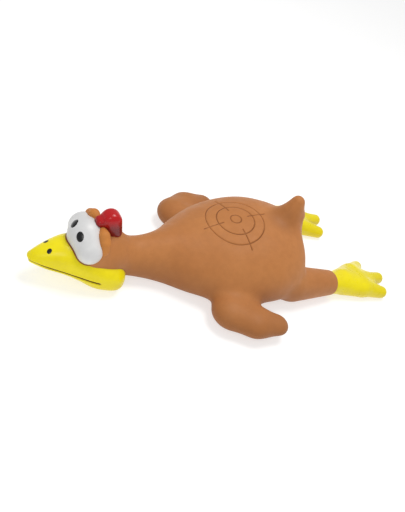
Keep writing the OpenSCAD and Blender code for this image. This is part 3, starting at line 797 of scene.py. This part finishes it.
def make_materials():
    skins = (colour(0.72, 0.465, 0.255), colour(0.555, 0.345, 0.185), colour(0.765, 0.51, 0.295))
    tan = latex("tan_latex", *skins)
    back = latex("target_latex", *skins, target=colour(0.46, 0.27, 0.135))
    # Painted light: the eyelids are a lighter, more orange copy of the tan latex, where they catch the
    # light.
    lit_lids = latex("lid_latex_painted_light", colour(0.765, 0.485, 0.225), colour(0.64, 0.38, 0.16),
                 colour(0.81, 0.53, 0.27))
    yellows = (colour(0.92, 0.85, 0.02), colour(0.83, 0.73, 0.015), colour(0.955, 0.89, 0.03))
    yellow = painted("yellow_paint", *yellows, wave=0.03, low=0.26, high=0.34, coat=0.15)
    beak = painted("beak_paint", *yellows, low=0.3, high=0.4, coat=0.12)
    slope = math.radians(MOUTH_SLOPE)
    height = beak.along((-math.sin(slope), 0, math.cos(slope)), (BILL_TIP, 0, MOUTH_TIP_Z))
    line = beak.range(beak.math("ABSOLUTE", height), 0.72, 0.36)
    run = beak.range(beak.along((1, 0, 0), (BILL_TIP - MOUTH_LENGTH, 0, 0)), -1.2, 0.4)
    beak.paint(beak.mix(beak.math("MULTIPLY", line, run), beak.tone, colour(0.42, 0.27, 0.08)))
    white = painted("white_paint", colour(0.835, 0.835, 0.835), colour(0.77, 0.77, 0.775),
                    colour(0.87, 0.87, 0.87), wave=0.05, low=0.34, high=0.44, coat=0.1)
    red = painted("red_paint", colour(0.47, 0.04, 0.06), colour(0.33, 0.02, 0.035),
                  colour(0.55, 0.055, 0.075), low=0.2, high=0.3, coat=0.2)
    # Painted highlight: the comb's top is mixed to a brighter red, where the light falls on it.
    lit_top = red.range(red.along((0, 0, 1)), COMB[2] - 1, COMB[2] + 7)
    red.paint(red.mix(red.math("MULTIPLY", lit_top, 0.8), red.tone, colour(0.76, 0.05, 0.08)))
    black = painted("black_paint", colour(0.045, 0.045, 0.05), colour(0.02, 0.02, 0.02),
                    colour(0.09, 0.09, 0.10), wave=0.03)
    # Painted shadow: a darker brown for the crease between the eyes and the bill.
    shadow_brown = latex("rim_shadow_latex", colour(0.52, 0.30, 0.14), colour(0.38, 0.21, 0.09),
                       colour(0.60, 0.36, 0.18))
    plastic = Finish("ivory_plastic", specular_ior_level=0.5, subsurface_weight=0.08)
    plastic.paint(plastic.mix(plastic.range(plastic.noise(5, 3), 0.3, 0.7), colour(0.90, 0.87, 0.78),
                              colour(0.95, 0.93, 0.86)))
    plastic.rough(plastic.range(plastic.noise(1.6, 3), 0.3, 0.7, 0.32, 0.45))
    plastic.bump((plastic.noise(0.5, 3), 0.012))
    metal = Finish("reed_steel", metallic=1.0)
    metal.paint(metal.mix(metal.noise(3, 3), colour(0.66, 0.67, 0.68), colour(0.80, 0.81, 0.82)))
    metal.rough(metal.range(metal.noise(0.3, 4), 0.3, 0.7, 0.24, 0.4))
    metal.bump((metal.noise(0.25, 3), 0.004))
    return {"tan": tan, "back": back, "lid": lit_lids, "yellow": yellow, "beak": beak, "white": white,
            "red": red, "black": black, "rim": shadow_brown, "plastic": plastic, "metal": metal}


# --- The head, the feet and the squeaker ----------------------------------------------

def add_head(paint):
    head = [add_solid("bill", bill, (62, -25, -2), (132, 25, 34), 0.6, paint["beak"].material)]
    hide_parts("bill")
    mass = add_solid("eyes", eyes, (78, -24, 16), (110, 24, 50), 0.9, paint["white"].material)
    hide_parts("eyes")
    crest = add_solid("comb", comb, (68, -9, 28), (94, 9, 58), 0.7, paint["red"].material)
    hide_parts("comb")
    # A dark brown sheet between the eyes and the bill: painted shadow in the crease.
    edge = add_solid("eye_rim_shadow", rim, (82, -24, 4), (112, 24, 46), 0.55, paint["rim"].material)
    head += [mass, crest, edge]
    for side, s in SIDES.items():
        low_y, high_y = sorted((-4 * s, 26 * s))
        ridge = add_solid(f"{side}_eyelid", lambda p, side=side: lid(p, side), (70, low_y, 16),
                          (96, high_y, 50), 0.8, paint["lid"].material)
        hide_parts(f"{side}_eyelid")
        pupil = add_spot(f"{side}_pupil", eyes, EYES, PUPIL_LOOK[side], PUPIL_R[side], 0.25,
                         paint["black"].material, PUPIL_ROLL[side])
        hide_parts(f"{side}_pupil")
        nostril = add_spot(f"{side}_nostril", bill, np.array([NOSTRIL_AT[0], s * NOSTRIL_AT[1], 12.0]),
                           (0.05, 0.001, 1), (NOSTRIL_R, NOSTRIL_R), 0.15, paint["black"].material)
        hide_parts(f"{side}_nostril")
        head += [ridge, pupil, nostril]
    for piece in head:
        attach(piece, "head")


def add_feet(paint):
    for side in SIDES:
        low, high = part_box(f"{side}_foot")
        low, high = np.array(low) / MM - PLAN - 4, np.array(high) / MM - PLAN + 4
        high[0] += 4
        points, quads = surface(lambda p: foot(p, side), low, high, 1.0)
        piece = add_piece(f"{side}_foot_paint", points, quads, paint["yellow"].material,
                          unit(gradient(lambda p: foot(p, side), points)))
        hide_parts(f"{side}_foot")
        bend(piece)


def finish_squeaker(paint):
    for name, finish in (("squeaker_body", "plastic"), ("squeaker_cap", "plastic"),
                         ("squeaker_reed", "metal")):
        slots = frame["nodes"][name].data.materials
        slots.clear()
        slots.append(paint[finish].material)


# --- Camera, light and floor ----------------------------------------------------------

def add_camera():
    """The camera, turned by its azimuth, elevation and roll."""
    turn, drop, roll = (math.radians(a) for a in (CAMERA_TURN, CAMERA_DROP, CAMERA_ROLL))
    level = np.array([-math.sin(turn), -math.cos(turn), 0])
    across = np.array([-math.cos(turn), math.sin(turn), 0])
    upward = np.array([0, 0, 1.0])
    look = math.cos(drop) * level - math.sin(drop) * upward
    top = math.sin(drop) * level + math.cos(drop) * upward
    right = math.cos(roll) * across + math.sin(roll) * top
    top = -math.sin(roll) * across + math.cos(roll) * top
    data = bpy.data.cameras.new("camera")
    data.lens, data.sensor_width = CAMERA_LENS, CAMERA_SENSOR
    camera = bpy.data.objects.new("camera", data)
    place = (CAMERA_AT + PLAN) * MM
    rows = np.stack([right, top, -look, place], 1)
    camera.matrix_world = Matrix([*rows.tolist(), [0, 0, 0, 1]])
    bpy.context.scene.collection.objects.link(camera)
    bpy.context.scene.camera = camera


def add_light(name, place, aim, size, watts, tint=(1, 1, 1)):
    data = bpy.data.lights.new(name, "AREA")
    data.shape, data.size, data.energy, data.color = "DISK", size, watts, tint
    light = bpy.data.objects.new(name, data)
    light.location = place
    away = Matrix.Translation(place).translation - Matrix.Translation(aim).translation
    light.rotation_euler = away.to_track_quat("Z", "Y").to_euler()
    bpy.context.scene.collection.objects.link(light)


def add_studio():
    mesh = bpy.data.meshes.new("floor")
    half = FLOOR_HALF
    mesh.from_pydata([(-half, -half, 0), (half, -half, 0), (half, half, 0), (-half, half, 0)], [],
                     [(0, 1, 2, 3)])
    paper = Finish("paper", roughness=0.9, specular_ior_level=0.1, emission_color=(1, 1, 1, 1),
                   emission_strength=0.62)
    paper.paint(paper.mix(paper.noise(60, 2), colour(0.735, 0.735, 0.735),
                          colour(0.745, 0.745, 0.745)))
    mesh.materials.append(paper.material)
    floor = bpy.data.objects.new("floor", mesh)
    bpy.context.scene.collection.objects.link(floor)
    world = bpy.data.worlds.new("studio")
    world.use_nodes = True
    world.node_tree.nodes["Background"].inputs["Color"].default_value = (1, 1, 1, 1)
    world.node_tree.nodes["Background"].inputs["Strength"].default_value = 0.5
    bpy.context.scene.world = world
    bpy.context.scene.view_settings.view_transform = "Standard"
    add_light("overhead", (-0.12, -0.05, 0.85), (0, 0, 0.02), 0.45, 4.0, (1, 0.99, 0.97))
    add_light("front", (0.5, 0.45, 0.6), (0, 0, 0.02), 0.35, 0.9)


paint = make_materials()
add_skin(paint["tan"].material, paint["back"].material)
add_head(paint)
add_feet(paint)
finish_squeaker(paint)
add_camera()
add_studio()
